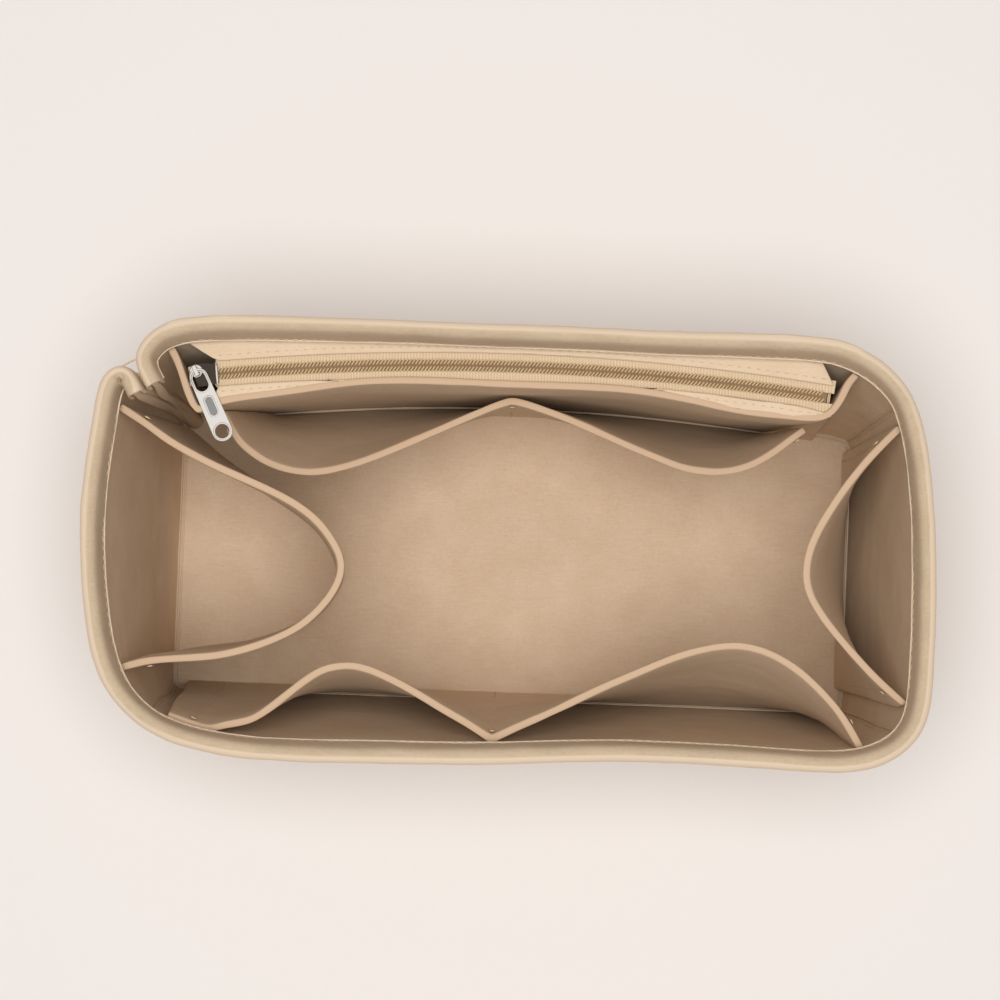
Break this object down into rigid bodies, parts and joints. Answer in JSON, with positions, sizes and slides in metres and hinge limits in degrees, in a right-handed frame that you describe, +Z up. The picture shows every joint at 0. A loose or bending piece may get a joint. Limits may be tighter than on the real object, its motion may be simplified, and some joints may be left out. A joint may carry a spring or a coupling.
{
  "type": "purse organizer insert",
  "caption": "Open felt box insert for a handbag, with a bound rim, bowed pocket walls on every side and a zipped pouch along the rear wall.",
  "frame": {"origin": "middle of the underside of the base, on the face that it rests on", "axes": "+X to the right-hand end, +Y to the rear wall with the zipped pouch, +Z up to the open rim"},
  "size_m": [0.2985, 0.1547, 0.16],
  "materials": {
    "panel_felt": "matt pressed felt, warm tan",
    "pocket_felt": "matt pressed felt, lighter cut edges",
    "binding_cloth": "soft felt strip folded over the rim",
    "zip_tape": "ribbed woven tape",
    "coil_nylon": "dyed nylon coil",
    "sewing_thread": "polyester sewing thread",
    "bright_metal": "polished, plated zinc"
  },
  "bodies": {
    "root": {"base_panel": "panel_felt", "rear_panel": "panel_felt", "right_end_panel": "panel_felt", "front_panel": "panel_felt", "left_end_panel": "panel_felt", "rim_binding": "binding_cloth", "zip_pouch_wall": "pocket_felt", "left_pocket_wall": "pocket_felt", "right_pocket_wall": "pocket_felt", "front_pocket_wall": "pocket_felt", "rear_pocket_wall": "pocket_felt", "zip_flange_rear": "pocket_felt", "zip_flange_front": "pocket_felt", "zip_tape_rear": "zip_tape", "zip_tape_front": "zip_tape", "zip_coil_rear": "coil_nylon", "zip_coil_front": "coil_nylon", "zip_stop_left": "sewing_thread", "zip_stop_right": "sewing_thread", "corner_tack": "sewing_thread", "left_pocket_tack_rear": "sewing_thread", "left_pocket_tack_front": "sewing_thread", "right_pocket_tack_rear": "sewing_thread", "right_pocket_tack_front": "sewing_thread", "front_pocket_tack_right": "sewing_thread", "front_pocket_tack_middle": "sewing_thread", "front_pocket_tack_left": "sewing_thread", "rear_pocket_tack_left": "sewing_thread", "rear_pocket_tack_middle": "sewing_thread", "rear_pocket_tack_right": "sewing_thread"},
    "slider": {"zip_slider": "bright_metal"},
    "crown": {"zip_crown": "bright_metal"},
    "pull": {"zip_pull": "bright_metal"}
  },
  "joints": [
    {"name": "slider_travel", "type": "hinge", "parent": "root", "child": "slider", "pos_m": [0, -0.80041, 0.138], "axis": [0, 0, -1], "range_deg": [0, 14]},
    {"name": "pull_yaw", "type": "hinge", "parent": "slider", "child": "crown", "pos_m": [-0.11357, 0.06266, 0.142], "axis": [0, 0, 1], "range_deg": [-50, 35]},
    {"name": "pull_flip", "type": "hinge", "parent": "crown", "child": "pull", "pos_m": [-0.11357, 0.06266, 0.1422], "axis": [-0.8988, -0.4384, 0], "range_deg": [0, 95]}
  ]
}
